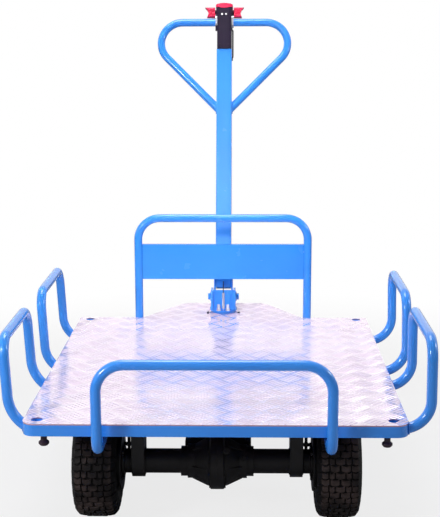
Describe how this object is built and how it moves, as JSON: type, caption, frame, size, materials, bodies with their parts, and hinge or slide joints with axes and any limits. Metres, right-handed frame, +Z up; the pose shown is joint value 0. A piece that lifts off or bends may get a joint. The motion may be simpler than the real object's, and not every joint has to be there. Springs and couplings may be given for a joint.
{
  "type": "electric platform truck",
  "caption": "Walk-behind electric platform truck with a tread plate deck, blue tube hoops and a steered front axle led by a tiller.",
  "frame": {"origin": "on the floor under the middle of the truck's whole length and width", "axes": "+Z up, +Y towards the tiller and the steered wheels, +X to the right as seen from behind the truck"},
  "size_m": [1.0236, 1.4678, 1.3032],
  "materials": {
    "blue_paint": "gloss",
    "tread_plate": "satin",
    "black_paint": "satin",
    "bright_steel": "satin",
    "tyre_rubber": "matte",
    "black_plastic": "matte",
    "red_plastic": "gloss"
  },
  "bodies": {
    "chassis": {"deck_plate": "tread_plate", "rear_rail": "blue_paint", "front_rail": "blue_paint", "side_rail_left": "blue_paint", "side_rail_right": "blue_paint", "bearers": "blue_paint", "cross_members": "blue_paint", "nose_rail": "blue_paint", "steering_head": "blue_paint", "stake_sockets": "blue_paint", "corner_knobs": "black_plastic", "rear_bar": "blue_paint", "headboard_hoop": "blue_paint", "headboard_plate": "blue_paint", "side_hoop_rear_left": "blue_paint", "side_hoop_front_left": "blue_paint", "side_hoop_rear_right": "blue_paint", "side_hoop_front_right": "blue_paint", "axle_hangers": "black_paint", "axle_case_left": "black_paint", "axle_case_right": "black_paint", "reduction_case": "black_paint", "drive_motor": "black_paint", "brake_plates": "black_paint", "brake_rods": "black_paint", "battery_tray": "blue_paint", "battery": "black_plastic", "controller": "black_paint"},
    "front_bogie": {"turntable": "blue_paint", "king_pin": "blue_paint", "front_axle": "black_paint", "tiller_bracket": "blue_paint", "tilt_pin": "blue_paint", "return_spring": "bright_steel"},
    "tiller": {"tiller_fork": "blue_paint", "tiller_post": "blue_paint", "handle_loop": "blue_paint", "head_clamps": "bright_steel", "control_cable": "black_plastic", "control_head": "black_plastic", "cap_button": "red_plastic", "throttle_left": "red_plastic", "throttle_right": "red_plastic"},
    "rear_left_wheel": {"rear_tyre_left": "tyre_rubber", "rear_rim_left": "black_paint"},
    "rear_right_wheel": {"rear_tyre_right": "tyre_rubber", "rear_rim_right": "black_paint"},
    "front_left_wheel": {"front_tyre_left": "tyre_rubber", "front_rim_left": "black_paint"},
    "front_right_wheel": {"front_tyre_right": "tyre_rubber", "front_rim_right": "black_paint"}
  },
  "joints": [
    {"name": "steering", "type": "hinge", "parent": "chassis", "child": "front_bogie", "pos_m": [-0.00548, 0.40658, 0.262], "axis": [0, 0, 1], "range_deg": [-80, 80]},
    {"name": "tiller_tilt", "type": "hinge", "parent": "front_bogie", "child": "tiller", "pos_m": [-0.00548, 0.40658, 0.373], "axis": [-1, 0, 0], "range_deg": [-18, 57]},
    {"name": "rear_left_roll", "type": "hinge", "parent": "chassis", "child": "rear_left_wheel", "pos_m": [-0.30798, -0.43342, 0.14], "axis": [1, 0, 0], "continuous": true},
    {"name": "rear_right_roll", "type": "hinge", "parent": "chassis", "child": "rear_right_wheel", "pos_m": [0.29702, -0.43342, 0.14], "axis": [1, 0, 0], "continuous": true},
    {"name": "front_left_roll", "type": "hinge", "parent": "front_bogie", "child": "front_left_wheel", "pos_m": [-0.30798, 0.40658, 0.14], "axis": [1, 0, 0], "continuous": true},
    {"name": "front_right_roll", "type": "hinge", "parent": "front_bogie", "child": "front_right_wheel", "pos_m": [0.29702, 0.40658, 0.14], "axis": [1, 0, 0], "continuous": true}
  ]
}
